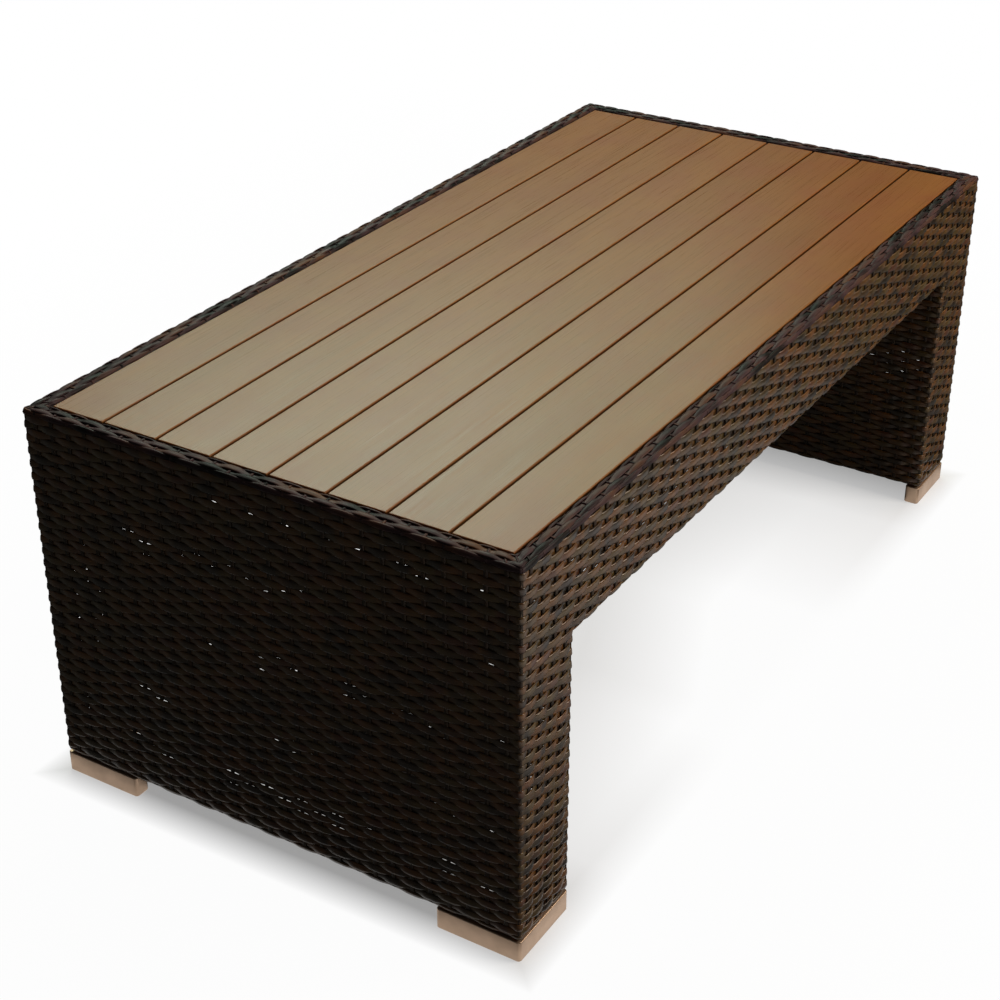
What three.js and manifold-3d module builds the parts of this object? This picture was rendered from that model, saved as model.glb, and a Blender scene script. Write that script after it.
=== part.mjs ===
// Wicker coffee table: a welded tube frame in a woven cover, with a slatted top let into the border.
// Millimetres. +X runs along the table, +Y across it and +Z up, from the floor under its middle.

import * as THREE from "three";
import { mergeVertices } from "three/addons/utils/BufferGeometryUtils.js";
import Module from "manifold-3d";

const wasm = await Module();
wasm.setup();

// Overall sizes
const LENGTH = 1180;
const WIDTH = 600;
const HEIGHT = 460;
const LEG_DEPTH = 98; // through each hollow end panel, from its outer to its inner face
const APRON_DROP = 122; // from the top of the border to the lower edge of the long sides
const INSIDE_CORNER = 2.7; // radius inside the weave's upright corners, where the tubes lie
const FIT = 0.3; // left between pieces that seat on each other

// Weave
const STRAND = 1.1; // thickness of one flat strand
const STRANDS_DEEP = 3; // over strand, stake and under strand
const COURSE = 7.45; // height of one woven course
const RELIEF_SHARE = 0.7; // of a strand's thickness, for the groove between two courses
const FACE_CRESTS = [0.5]; // places of the high points of a course, as shares of its height
const CORNER_STEPS = 2; // flats in one upright corner

// Border of the top
const BORDER_DROP = 7.5; // how far the border turns down over the side weave
const BORDER_ROUND = 6;
const LIP = 1.2; // single strand down the inside of the border
const LIP_ROUND = 2.5;
const BORDER_CRESTS = [0.25, 0.75]; // the border's strands lie flatter than the side ones

// Frame tubes
const TUBE = 18;
const RAIL_HEIGHT = 30; // rails of the top and of the feet stand on edge
const TUBE_WALL = 1.8;
const UPRIGHT_SHARE = 0.44; // of the half width, for the two uprights of an end panel

// Slats and the bearers under them
const SLAT_COUNT = 8;
const SLAT_GAP = 3;
const SLAT_THICKNESS = 12;
const SLAT_DROP = 3.3; // slats lie this far under the top of the border
const SLAT_EDGE = 1;
const SLAT_CLEARANCE = 1; // from the slats to the border round them
const BEARER_COUNT = 4;

// Corner feet
const FOOT_HEIGHT = 25;
const FOOT_ARM = 20; // width of each arm of the L
const FOOT_ALONG_END = 100; // length of the arm under the end panel's outer face
const FOOT_INSET = 1.5; // from the face of the weave
const FOOT_ROUND = 4;
const FOOT_CHAMFER = 2;
const FOOT_BORE_DEPTH = 8; // recess that takes the screw head from below
const FOOT_SCREW_SHARE = 0.6; // place of the screw along the long arm

// Screws
const SCREW = 4;
const SCREW_HEAD = 8;
const SCREW_HEAD_HEIGHT = 2.5;
const SCREW_BITE = 7; // how far a screw enters a slat or a rail
const SCREW_SIDES = 6;

// Flats in one rounded edge
const CURVE_STEPS = 3;
const FOOT_CURVE_STEPS = 2;

// Places worked out from the sizes, as depths from the outer face of the weave
const weave = STRANDS_DEEP * STRAND;
const relief = STRAND * RELIEF_SHARE;
const cornerRadius = weave + INSIDE_CORNER;
const tubeEdge = INSIDE_CORNER - FIT;
const tubeOuter = weave + FIT;
const tubeMiddle = tubeOuter + TUBE / 2;
const tubeInner = tubeOuter + TUBE;
const borderWidth = tubeInner + FIT + LIP;
const wrapInner = tubeInner + FIT + weave;

// Half sizes, and the planes of the left end panel
const halfLength = LENGTH / 2;
const halfWidth = WIDTH / 2;
const outerFace = -halfLength;
const innerFace = outerFace + LEG_DEPTH;
const innerTubeOuter = innerFace - tubeInner;
const innerTubeMiddle = innerFace - tubeMiddle;
const innerTubeInner = innerFace - tubeOuter;

// Heights
const railBottom = FOOT_HEIGHT + weave + FIT;
const railTop = railBottom + RAIL_HEIGHT;
const apronBottom = HEIGHT - APRON_DROP;
const apronRailBottom = apronBottom + weave + FIT;
const seam = HEIGHT - BORDER_DROP;
const topRailTop = HEIGHT - tubeOuter;
const topRailBottom = topRailTop - RAIL_HEIGHT;
const slatTop = HEIGHT - SLAT_DROP;
const slatBottom = slatTop - SLAT_THICKNESS;
const bearerTop = slatBottom - FIT;
const bearerBottom = bearerTop - TUBE;
const footTop = FOOT_HEIGHT - FIT;

const materials = {
  wicker: new THREE.MeshStandardMaterial({ color: "#3d3127", roughness: 0.5, metalness: 0 }),
  border: new THREE.MeshStandardMaterial({ color: "#46403c", roughness: 0.4, metalness: 0 }),
  slat: new THREE.MeshStandardMaterial({ color: "#9a8468", roughness: 0.6, metalness: 0 }),
  frame: new THREE.MeshStandardMaterial({ color: "#2b231d", roughness: 0.45, metalness: 0.6 }),
  foot: new THREE.MeshStandardMaterial({ color: "#b9a189", roughness: 0.35, metalness: 0.7 }),
};

// Solids and booleans

function toSolid(geometry) {
  const bare = geometry.clone();
  bare.deleteAttribute("normal");
  bare.deleteAttribute("uv");
  const merged = mergeVertices(bare);
  return new wasm.Manifold(new wasm.Mesh({
    numProp: 3,
    vertProperties: Float32Array.from(merged.attributes.position.array),
    triVerts: Uint32Array.from(merged.index.array),
  }));
}

function toGeometry(solid) {
  const mesh = solid.getMesh();
  const indexed = new THREE.BufferGeometry();
  indexed.setAttribute("position", new THREE.BufferAttribute(Float32Array.from(mesh.vertProperties), 3));
  indexed.setIndex(new THREE.BufferAttribute(Uint32Array.from(mesh.triVerts), 1));
  const geometry = indexed.toNonIndexed();
  geometry.computeVertexNormals();
  return geometry;
}

function addPiece(group, name, geometry, material) {
  const piece = new THREE.Mesh(geometry, material);
  piece.name = name;
  group.add(piece);
  return piece;
}

// Outlines

// A closed outline through the corners, each one rounded by its radius.
function roundedShape(corners, radiusOf) {
  const shape = new THREE.Shape();
  corners.forEach((corner, index) => {
    const before = corners[(index + corners.length - 1) % corners.length];
    const after = corners[(index + 1) % corners.length];
    const radius = radiusOf(index);
    const start = before.clone().sub(corner).setLength(radius).add(corner);
    const end = after.clone().sub(corner).setLength(radius).add(corner);
    if (index === 0) {
      shape.moveTo(start.x, start.y);
    } else {
      shape.lineTo(start.x, start.y);
    }
    shape.quadraticCurveTo(corner.x, corner.y, end.x, end.y);
  });
  shape.closePath();
  return shape;
}

function rectangleCorners(left, right, bottom, top) {
  return [[left, bottom], [right, bottom], [right, top], [left, top]]
    .map(([x, y]) => new THREE.Vector2(x, y));
}

// One side's share of a rectangle seen from above, cut by the diagonals at its corners.
// It is drawn for the side that faces -Y, and stands off the next sides by the fit.
function mitreShape(halfRun, halfDepth) {
  const reach = Math.min(halfRun, halfDepth);
  const spare = cornerRadius;
  const standOff = FIT / 2;
  const corners = [
    [-halfRun - spare, -halfDepth - spare],
    [halfRun + spare, -halfDepth - spare],
    [halfRun - reach, -halfDepth + reach],
    [-halfRun + reach, -halfDepth + reach],
  ];
  return new THREE.Shape(corners.map(([x, y]) => new THREE.Vector2(x, y - standOff)));
}

// Points along a surface line, sunk by the relief at every joint between two courses.
// The strands lie to the right of the line as it is drawn.
function ribbedLine(path, crestShares) {
  const courses = Math.max(1, Math.round(path.getLength() / COURSE));
  const sunk = (share, depth) => {
    const point = path.getPointAt(share);
    const heading = path.getTangentAt(share);
    return new THREE.Vector2(point.x + heading.y * depth, point.y - heading.x * depth);
  };
  const points = [];
  for (let course = 0; course < courses; course += 1) {
    points.push(sunk(course / courses, relief));
    for (const crest of crestShares) {
      points.push(sunk((course + crest) / courses, 0));
    }
  }
  points.push(sunk(1, relief));
  return points;
}

// Section of an upright woven face, as depths and heights, with its courses between the levels.
function wovenSection(levels) {
  const face = [];
  for (let part = 1; part < levels.length; part += 1) {
    const rise = new THREE.LineCurve(
      new THREE.Vector2(0, levels[part - 1]),
      new THREE.Vector2(0, levels[part]),
    );
    const points = ribbedLine(rise, FACE_CRESTS);
    face.push(...(part === 1 ? points : points.slice(1)));
  }
  const [bottom] = levels;
  const top = levels[levels.length - 1];
  return [...face, new THREE.Vector2(weave, top), new THREE.Vector2(weave, bottom)];
}

// Solids made from the outlines

// A shape drawn from above and raised between two heights.
function prism(shape, bottom, top) {
  const geometry = new THREE.ExtrudeGeometry(shape, {
    depth: top - bottom,
    bevelEnabled: false,
    curveSegments: CURVE_STEPS,
  });
  return geometry.translate(0, 0, bottom);
}

// Block that picks out the share of a woven band between two lengths, two widths and two heights.
function region(left, right, front, back, bottom = 0, top = HEIGHT) {
  return toSolid(prism(new THREE.Shape(rectangleCorners(left, right, front, back)), bottom, top));
}

// A shape drawn as depth and height, run along X behind the face at -halfDepth.
function runAlong(shape, halfRun, halfDepth) {
  const geometry = new THREE.ExtrudeGeometry(shape, {
    depth: halfRun + halfRun,
    bevelEnabled: false,
    curveSegments: CURVE_STEPS,
  });
  const turned = new THREE.Matrix4().makeBasis(
    new THREE.Vector3(0, 1, 0),
    new THREE.Vector3(0, 0, 1),
    new THREE.Vector3(1, 0, 0),
  );
  geometry.applyMatrix4(turned);
  return geometry.translate(-halfRun, -halfDepth, 0);
}

// A woven band carried round a rounded rectangle: every corner turns the same section about its centre.
function wovenBand(halfX, halfY, section) {
  const stations = [];
  const quarters = [[1, 1], [-1, 1], [-1, -1], [1, -1]];
  quarters.forEach(([signX, signY], quarter) => {
    for (let step = 0; step <= CORNER_STEPS; step += 1) {
      const angle = (quarter + step / CORNER_STEPS) * Math.PI / 2;
      stations.push({
        x: signX * (halfX - cornerRadius),
        y: signY * (halfY - cornerRadius),
        cos: Math.cos(angle),
        sin: Math.sin(angle),
      });
    }
  });
  const positions = [];
  for (const { x, y, cos, sin } of stations) {
    for (const point of section) {
      const radius = cornerRadius - point.x;
      positions.push(x + radius * cos, y + radius * sin, point.y);
    }
  }
  const indices = [];
  stations.forEach((_, station) => {
    const here = station * section.length;
    const next = ((station + 1) % stations.length) * section.length;
    section.forEach((__, row) => {
      const above = (row + 1) % section.length;
      indices.push(here + row, next + row, next + above);
      indices.push(here + row, next + above, here + above);
    });
  });
  const geometry = new THREE.BufferGeometry();
  geometry.setAttribute("position", new THREE.Float32BufferAttribute(positions, 3));
  geometry.setIndex(indices);
  return geometry;
}

// Woven strip turned in from the lower edge of a face, to lie under the rail behind it.
function bottomStrip(halfRun, halfDepth) {
  const start = weave / 2;
  const end = tubeInner;
  const under = new THREE.LineCurve(
    new THREE.Vector2(end, FOOT_HEIGHT),
    new THREE.Vector2(start, FOOT_HEIGHT),
  );
  const section = [
    ...ribbedLine(under, FACE_CRESTS),
    new THREE.Vector2(start, FOOT_HEIGHT + weave),
    new THREE.Vector2(end, FOOT_HEIGHT + weave),
  ];
  return runAlong(new THREE.Shape(section), halfRun, halfDepth);
}

// Screws

function roundBar(radius, bottom, top) {
  const geometry = new THREE.CylinderGeometry(radius, radius, top - bottom, SCREW_SIDES);
  geometry.rotateX(Math.PI / 2);
  geometry.translate(0, 0, (bottom + top) / 2);
  return toSolid(geometry);
}

function screwHole(x, y, bottom, top) {
  return roundBar(SCREW / 2 + FIT, bottom, top).translate([x, y, 0]);
}

// Screw put in from below: the head hangs under the given height and the shank goes up to its tip.
function screw(headTop, tip) {
  const head = roundBar(SCREW_HEAD / 2, headTop - SCREW_HEAD_HEIGHT, headTop);
  return head.add(roundBar(SCREW / 2, headTop - SCREW_HEAD_HEIGHT / 2, tip));
}

// Frame tubes

// Hollow tube with broken edges, from one point to another along an axis.
function tubeGeometry(from, to, height) {
  const halfAcross = TUBE / 2;
  const halfHigh = height / 2;
  const corners = rectangleCorners(-halfAcross, halfAcross, -halfHigh, halfHigh);
  const outline = corners.flatMap((corner, index) => {
    const before = corners[(index + corners.length - 1) % corners.length];
    const after = corners[(index + 1) % corners.length];
    return [before, after].map((next) => next.clone().sub(corner).setLength(tubeEdge).add(corner));
  });
  const section = new THREE.Shape(outline);
  section.holes.push(new THREE.Path(rectangleCorners(
    -halfAcross + TUBE_WALL,
    halfAcross - TUBE_WALL,
    -halfHigh + TUBE_WALL,
    halfHigh - TUBE_WALL,
  )));
  const run = to.clone().sub(from);
  const geometry = new THREE.ExtrudeGeometry(section, { depth: run.length(), bevelEnabled: false });
  const ahead = run.normalize();
  const up = Math.abs(ahead.z) > Math.abs(ahead.x) + Math.abs(ahead.y)
    ? new THREE.Vector3(0, 1, 0)
    : new THREE.Vector3(0, 0, 1);
  const across = up.clone().cross(ahead);
  geometry.applyMatrix4(new THREE.Matrix4().makeBasis(across, up, ahead));
  return geometry.translate(from.x, from.y, from.z);
}

function tubeAlongX(startX, endX, y, bottom, height) {
  const z = bottom + height / 2;
  return tubeGeometry(new THREE.Vector3(startX, y, z), new THREE.Vector3(endX, y, z), height);
}

function tubeAlongY(x, startY, endY, bottom, height) {
  const z = bottom + height / 2;
  return tubeGeometry(new THREE.Vector3(x, startY, z), new THREE.Vector3(x, endY, z), height);
}

function post(x, y, bottom, top) {
  return tubeGeometry(new THREE.Vector3(x, y, bottom), new THREE.Vector3(x, y, top), TUBE);
}

// Border and top rail of one side, drawn for the side that faces -Y

function borderGeometry(halfRun, halfDepth) {
  const lipBottom = slatBottom;
  const surface = new THREE.Path();
  surface.moveTo(0, seam);
  surface.lineTo(0, HEIGHT - BORDER_ROUND);
  surface.absarc(BORDER_ROUND, HEIGHT - BORDER_ROUND, BORDER_ROUND, Math.PI, Math.PI / 2, true);
  surface.lineTo(borderWidth - LIP_ROUND, HEIGHT);
  surface.absarc(borderWidth - LIP_ROUND, HEIGHT - LIP_ROUND, LIP_ROUND, Math.PI / 2, 0, true);
  const section = new THREE.Shape([
    ...ribbedLine(surface, BORDER_CRESTS),
    new THREE.Vector2(borderWidth, HEIGHT - LIP_ROUND),
    new THREE.Vector2(borderWidth, lipBottom),
    new THREE.Vector2(borderWidth - LIP, lipBottom),
    new THREE.Vector2(borderWidth - LIP, HEIGHT - weave),
    new THREE.Vector2(weave, HEIGHT - weave),
    new THREE.Vector2(weave, seam),
  ]);
  const planCorners = rectangleCorners(-halfRun, halfRun, -halfDepth, halfDepth);
  const plan = roundedShape(planCorners, () => cornerRadius);
  const spare = cornerRadius;
  return toGeometry(
    toSolid(runAlong(section, halfRun, halfDepth))
      .intersect(toSolid(prism(plan, lipBottom - spare, HEIGHT + spare)))
      .intersect(toSolid(prism(mitreShape(halfRun, halfDepth), lipBottom - spare, HEIGHT + spare))),
  );
}

function topSide(name, halfRun, halfDepth, railHalfRun) {
  const side = new THREE.Group();
  addPiece(side, `border_${name}`, borderGeometry(halfRun, halfDepth), materials.border);
  const rail = tubeAlongX(-railHalfRun, railHalfRun, -halfDepth + tubeMiddle, topRailBottom, RAIL_HEIGHT);
  addPiece(side, `top_rail_${name}`, rail, materials.frame);
  return side;
}

// Long side: the woven apron turned under and up round its own rail, drawn for the front

function apronGeometry() {
  const band = wovenBand(halfLength, halfWidth, wovenSection([apronBottom, seam - FIT]));
  const flatHalf = halfLength - cornerRadius - FIT / 2;
  const face = toSolid(band).intersect(region(-flatHalf, flatHalf, -WIDTH, 0));
  const wrapTop = apronRailBottom + TUBE;
  const under = new THREE.Path();
  under.moveTo(wrapInner, wrapTop);
  under.lineTo(wrapInner, apronBottom);
  under.lineTo(weave / 2, apronBottom);
  const section = new THREE.Shape([
    ...ribbedLine(under, FACE_CRESTS),
    new THREE.Vector2(weave / 2, apronBottom + weave),
    new THREE.Vector2(wrapInner - weave, apronBottom + weave),
    new THREE.Vector2(wrapInner - weave, wrapTop),
  ]);
  const wrapHalfRun = -innerFace + weave;
  return toGeometry(face.add(toSolid(runAlong(section, wrapHalfRun, halfWidth))));
}

function apronSide(name) {
  const side = new THREE.Group();
  addPiece(side, `apron_weave_${name}`, apronGeometry(), materials.wicker);
  const railHalfRun = -innerTubeInner - FIT;
  const rail = tubeAlongX(-railHalfRun, railHalfRun, -halfWidth + tubeMiddle, apronRailBottom, TUBE);
  addPiece(side, `apron_rail_${name}`, rail, materials.frame);
  return side;
}

// End panel: four woven faces over two ladders of tube, drawn for the left end

const legCentre = outerFace + LEG_DEPTH / 2;
const longArmScrewY = halfWidth - FOOT_ALONG_END * FOOT_SCREW_SHARE;
const shortArmScrewY = halfWidth - tubeMiddle;

// The corner feet's screws pass here, on both sides of the middle.
function footScrewPlaces() {
  return [1, -1].flatMap((sign) => [
    { x: outerFace + tubeMiddle, y: sign * longArmScrewY },
    { x: legCentre, y: sign * shortArmScrewY },
  ]);
}

function drilled(solid) {
  const top = railBottom + TUBE_WALL + FIT;
  return footScrewPlaces().reduce(
    (piece, { x, y }) => piece.subtract(screwHole(x, y, FOOT_HEIGHT - FIT, top)),
    solid,
  );
}

// The end face turns both outer corners and runs in under its bottom rail.
function endWeave() {
  const band = wovenBand(halfLength, halfWidth, wovenSection([FOOT_HEIGHT, apronBottom, seam - FIT]));
  const face = toSolid(band)
    .intersect(region(-LENGTH, outerFace + cornerRadius - FIT / 2, -WIDTH, WIDTH));
  const strip = bottomStrip(halfWidth - cornerRadius, halfLength).rotateZ(-Math.PI / 2);
  return toGeometry(drilled(face.add(toSolid(strip))));
}

// The inner face turns both inner corners of the legs, and passes between the aprons above them.
function innerWeave() {
  const halfDepth = LEG_DEPTH / 2;
  const band = wovenBand(halfDepth, halfWidth, wovenSection([FOOT_HEIGHT, apronBottom, bearerTop]));
  const face = toSolid(band)
    .intersect(region(halfDepth - cornerRadius + FIT / 2, LEG_DEPTH, -WIDTH, WIDTH));
  const passHalf = halfWidth - wrapInner - FIT;
  const kept = region(0, LEG_DEPTH, -WIDTH, WIDTH, 0, apronBottom - FIT)
    .add(region(0, LEG_DEPTH, -passHalf, passHalf));
  const strip = bottomStrip(halfWidth - cornerRadius, halfDepth).rotateZ(Math.PI / 2);
  return toGeometry(face.intersect(kept).add(toSolid(strip)).translate([legCentre, 0, 0]));
}

function legWeave(angle) {
  const halfDepth = LEG_DEPTH / 2;
  const band = wovenBand(halfDepth, halfWidth, wovenSection([FOOT_HEIGHT, apronBottom - FIT]));
  const flatHalf = halfDepth - cornerRadius - FIT / 2;
  const face = toSolid(band).intersect(region(-flatHalf, flatHalf, -WIDTH, 0));
  const strip = bottomStrip(halfDepth - tubeInner - FIT, halfWidth);
  const turned = toSolid(toGeometry(face.add(toSolid(strip))).rotateZ(angle));
  return toGeometry(drilled(turned.translate([legCentre, 0, 0])));
}

// Corner foot: an L drawn from above, its screws fixed in recesses under its two arms
function footGeometry(side) {
  const outerX = outerFace + FOOT_INSET;
  const outerY = halfWidth - FOOT_INSET;
  const endX = innerFace - FOOT_INSET;
  const endY = outerY - FOOT_ALONG_END;
  const corners = [
    [outerX, outerY],
    [endX, outerY],
    [endX, outerY - FOOT_ARM],
    [outerX + FOOT_ARM, outerY - FOOT_ARM],
    [outerX + FOOT_ARM, endY],
    [outerX, endY],
  ].map(([x, y]) => new THREE.Vector2(x, side * y));
  const shape = roundedShape(corners, (index) => (index === 0 ? cornerRadius : FOOT_ROUND));
  const block = new THREE.ExtrudeGeometry(shape, {
    depth: footTop - FOOT_CHAMFER - FOOT_CHAMFER,
    bevelThickness: FOOT_CHAMFER,
    bevelSize: FOOT_CHAMFER,
    bevelOffset: -FOOT_CHAMFER,
    bevelSegments: 1,
    curveSegments: FOOT_CURVE_STEPS,
  });
  block.translate(0, 0, FOOT_CHAMFER);
  const screws = footScrewPlaces().filter(({ y }) => y * side > 0);
  const recessRadius = SCREW_HEAD / 2 + FIT;
  const tip = railBottom + SCREW_BITE;
  return toGeometry(screws.reduce((foot, { x, y }) => {
    const recess = roundBar(recessRadius, -FIT, FOOT_BORE_DEPTH).translate([x, y, 0]);
    const fixing = screw(FOOT_BORE_DEPTH, tip).translate([x, y, 0]);
    return foot.subtract(recess).add(fixing);
  }, toSolid(block)));
}

function endPanel(end, sides) {
  const panel = new THREE.Group();
  const postY = halfWidth - tubeMiddle;
  const railEnd = halfWidth - tubeInner - FIT;
  addPiece(panel, `end_weave_${end}`, endWeave(), materials.wicker);
  addPiece(panel, `inner_weave_${end}`, innerWeave(), materials.wicker);
  const outerRail = tubeAlongY(outerFace + tubeMiddle, -railEnd, railEnd, railBottom, RAIL_HEIGHT);
  addPiece(panel, `outer_bottom_rail_${end}`, toGeometry(drilled(toSolid(outerRail))), materials.frame);
  const innerRail = tubeAlongY(innerTubeMiddle, -railEnd, railEnd, railBottom, RAIL_HEIGHT);
  addPiece(panel, `inner_bottom_rail_${end}`, innerRail, materials.frame);
  for (const { name, sign, angle } of sides) {
    const place = `${name}_${end}`;
    addPiece(panel, `leg_weave_${place}`, legWeave(angle), materials.wicker);
    const outerPost = post(outerFace + tubeMiddle, sign * postY, railBottom, topRailBottom - FIT);
    addPiece(panel, `corner_post_${place}`, outerPost, materials.frame);
    const innerPost = post(innerTubeMiddle, sign * postY, railBottom, topRailBottom - FIT);
    addPiece(panel, `inner_post_${place}`, innerPost, materials.frame);
    const uprightY = sign * halfWidth * UPRIGHT_SHARE;
    const upright = post(outerFace + tubeMiddle, uprightY, railTop + FIT, topRailBottom - FIT);
    addPiece(panel, `upright_${place}`, upright, materials.frame);
    const footRail = tubeAlongX(
      outerFace + tubeInner + FIT,
      innerTubeOuter - FIT,
      sign * postY,
      railBottom,
      RAIL_HEIGHT,
    );
    addPiece(panel, `foot_rail_${place}`, toGeometry(drilled(toSolid(footRail))), materials.frame);
    addPiece(panel, `foot_${place}`, footGeometry(sign), materials.foot);
  }
  return panel;
}

// Slats and bearers

const slatField = WIDTH - 2 * (borderWidth + SLAT_CLEARANCE);
const slatWidth = (slatField - (SLAT_COUNT - 1) * SLAT_GAP) / SLAT_COUNT;
const slatHalfLength = halfLength - borderWidth - SLAT_CLEARANCE;

function slatPlaces() {
  const places = [];
  for (let index = 0; index < SLAT_COUNT; index += 1) {
    places.push(-slatField / 2 + slatWidth / 2 + index * (slatWidth + SLAT_GAP));
  }
  return places;
}

function bearerPlaces() {
  const places = [];
  for (let index = 0; index < BEARER_COUNT; index += 1) {
    places.push(innerTubeMiddle * (1 - 2 * index / (BEARER_COUNT - 1)));
  }
  return places;
}

function slatGeometry() {
  const corners = rectangleCorners(-slatWidth / 2, slatWidth / 2, slatBottom, slatTop);
  const section = roundedShape(corners, () => SLAT_EDGE);
  const board = toSolid(runAlong(section, slatHalfLength, 0));
  const holeTop = bearerTop + SCREW_BITE + FIT;
  return toGeometry(bearerPlaces().reduce(
    (piece, x) => piece.subtract(screwHole(x, 0, slatBottom - FIT, holeTop)),
    board,
  ));
}

function bearerGeometry() {
  const halfRun = halfWidth - tubeInner - FIT;
  const tube = toSolid(tubeAlongY(0, -halfRun, halfRun, bearerBottom, TUBE));
  return toGeometry(slatPlaces().reduce(
    (piece, y) => piece.add(screw(bearerBottom, bearerTop + SCREW_BITE).translate([0, y, 0])),
    tube,
  ));
}

function slattedTop() {
  const top = new THREE.Group();
  slatPlaces().forEach((y, index) => {
    addPiece(top, `slat_${index + 1}`, slatGeometry(), materials.slat).position.y = y;
  });
  bearerPlaces().forEach((x, index) => {
    addPiece(top, `slat_bearer_${index + 1}`, bearerGeometry(), materials.frame).position.x = x;
  });
  return top;
}

// The whole table

const table = new THREE.Group();

// The long top rails run past the short ones, which end between them.
const longSide = [halfLength, halfWidth, halfLength - cornerRadius];
const shortSide = [halfWidth, halfLength, halfWidth - tubeInner - FIT];
const topSides = [
  { name: "front", turn: 0, sizes: longSide },
  { name: "right", turn: Math.PI / 2, sizes: shortSide },
  { name: "back", turn: Math.PI, sizes: longSide },
  { name: "left", turn: -Math.PI / 2, sizes: shortSide },
];
for (const { name, turn, sizes } of topSides) {
  const side = topSide(name, ...sizes);
  side.rotation.z = turn;
  table.add(side);
}

for (const { name, turn } of [{ name: "front", turn: 0 }, { name: "back", turn: Math.PI }]) {
  const side = apronSide(name);
  side.rotation.z = turn;
  table.add(side);
}

// The right end is the left one turned round, so its front is drawn at +Y.
const ends = [
  { end: "left", turn: 0, frontSign: -1 },
  { end: "right", turn: Math.PI, frontSign: 1 },
];
for (const { end, turn, frontSign } of ends) {
  const sides = [
    { name: "front", sign: frontSign, angle: frontSign < 0 ? 0 : Math.PI },
    { name: "back", sign: -frontSign, angle: frontSign < 0 ? Math.PI : 0 },
  ];
  const panel = endPanel(end, sides);
  panel.rotation.z = turn;
  table.add(panel);
}

table.add(slattedTop());

export default table;
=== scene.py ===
"""Wicker coffee table: strands woven over a tube frame, a slatted top and four corner feet."""

import math
from collections import namedtuple
from itertools import accumulate

import bmesh
import bpy
from bpy.props import FloatProperty, FloatVectorProperty, PointerProperty
from mathutils import Matrix, Vector


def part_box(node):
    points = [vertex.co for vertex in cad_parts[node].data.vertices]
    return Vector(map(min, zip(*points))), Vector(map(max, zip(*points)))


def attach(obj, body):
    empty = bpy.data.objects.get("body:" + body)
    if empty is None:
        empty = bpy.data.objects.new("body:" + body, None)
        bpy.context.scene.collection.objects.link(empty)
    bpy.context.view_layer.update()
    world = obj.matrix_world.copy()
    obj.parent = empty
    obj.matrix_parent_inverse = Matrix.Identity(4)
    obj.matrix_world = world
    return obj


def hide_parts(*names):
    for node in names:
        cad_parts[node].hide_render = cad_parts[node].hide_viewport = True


bl_info = {
    "name": "Wicker Coffee Table",
    "version": (1, 0, 0),
    "blender": (4, 5, 0),
    "location": "View3D > Sidebar > Wicker Table",
    "description": "Weaves and finishes a coffee table over its packed frame",
    "category": "Object",
}

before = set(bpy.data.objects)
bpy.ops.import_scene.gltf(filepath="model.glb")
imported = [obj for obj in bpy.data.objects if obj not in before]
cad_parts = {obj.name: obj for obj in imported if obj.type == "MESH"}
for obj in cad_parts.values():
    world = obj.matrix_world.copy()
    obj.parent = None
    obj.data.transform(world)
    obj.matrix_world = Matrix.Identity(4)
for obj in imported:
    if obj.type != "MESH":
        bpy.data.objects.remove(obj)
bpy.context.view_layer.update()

BODY = "root"
MM = 0.001

# Faces, edges and heights that the frame gives
END_LOW, END_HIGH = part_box("end_weave_left")
APRON_LOW, APRON_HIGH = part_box("apron_weave_front")
BORDER_LOW, BORDER_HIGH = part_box("border_front")
INNER_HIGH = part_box("inner_weave_left")[1]
APRON_RAIL_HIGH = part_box("apron_rail_front")[1]
HALF_LENGTH = -END_LOW.x
HALF_WIDTH = -APRON_LOW.y
LEG_DEPTH = HALF_LENGTH + INNER_HIGH.x
PANEL_BOTTOM = END_LOW.z
PANEL_STRIP = END_HIGH.x - END_LOW.x
APRON_BOTTOM = APRON_LOW.z
APRON_WRAP = APRON_HIGH.y - APRON_LOW.y
APRON_WRAP_TOP = APRON_RAIL_HIGH.z
WALL_TOP = END_HIGH.z
INNER_TOP = INNER_HIGH.z
TABLE_TOP = BORDER_HIGH.z
BORDER_REACH = BORDER_HIGH.y + HALF_WIDTH
SLAT_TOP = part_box("slat_1")[1].z

# Courses of the walls and of the border, counted upwards, and their spacing
LEG_COURSES = 42
APRON_COURSES = 15
WALL_COURSES = LEG_COURSES + APRON_COURSES
BORDER_COURSES = 5
LEG_RISE = APRON_BOTTOM - PANEL_BOTTOM
LEG_COURSE = LEG_RISE / LEG_COURSES
APRON_COURSE = (WALL_TOP - APRON_BOTTOM) / APRON_COURSES
BORDER_COURSE = 7.36 * MM

# Stakes along the long sides, the ends and the legs, and the first one's distance to the corner
SIDE_STAKES = 50
SIDE_FIRST = 16.5 * MM
END_STAKES = 26
END_FIRST = 17.0 * MM
LEG_STAKES = 4
LEG_FIRST = 16.0 * MM
LEG_PITCH = 20.3 * MM

# Stakes near a leg lean to follow its closer spacing: by how much less from one stake to the
# next, up to which height in full, and over which height the lean dies away
LEAN_FALL = 0.55
LEAN_FROM = 180 * MM
LEAN_OVER = 240 * MM

# Stakes near a corner spread with the inset of the wall, less from one stake to the next
CORNER_FAN = 0.75
FAN_FALL = 0.45

# Sides of an end panel's outline, and of the whole table's
NARROW_FIRST, INNER, NARROW_LAST, OUTER = range(4)
FRONT, RIGHT, BACK, LEFT = range(4)

# Rounding of corners and lower edges
CORNER_ROUND = 6 * MM
CORNER_LEAST = 2 * MM
EDGE_ROUND = 4 * MM
LIP_ROUND = 3 * MM

# Room between pieces: the border over the wall, the inner faces beside the aprons, and the feet
BORDER_START = 0.3 * MM
INNER_ROOM = 0.5 * MM
FOOT_ROOM = 0.3 * MM

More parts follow.
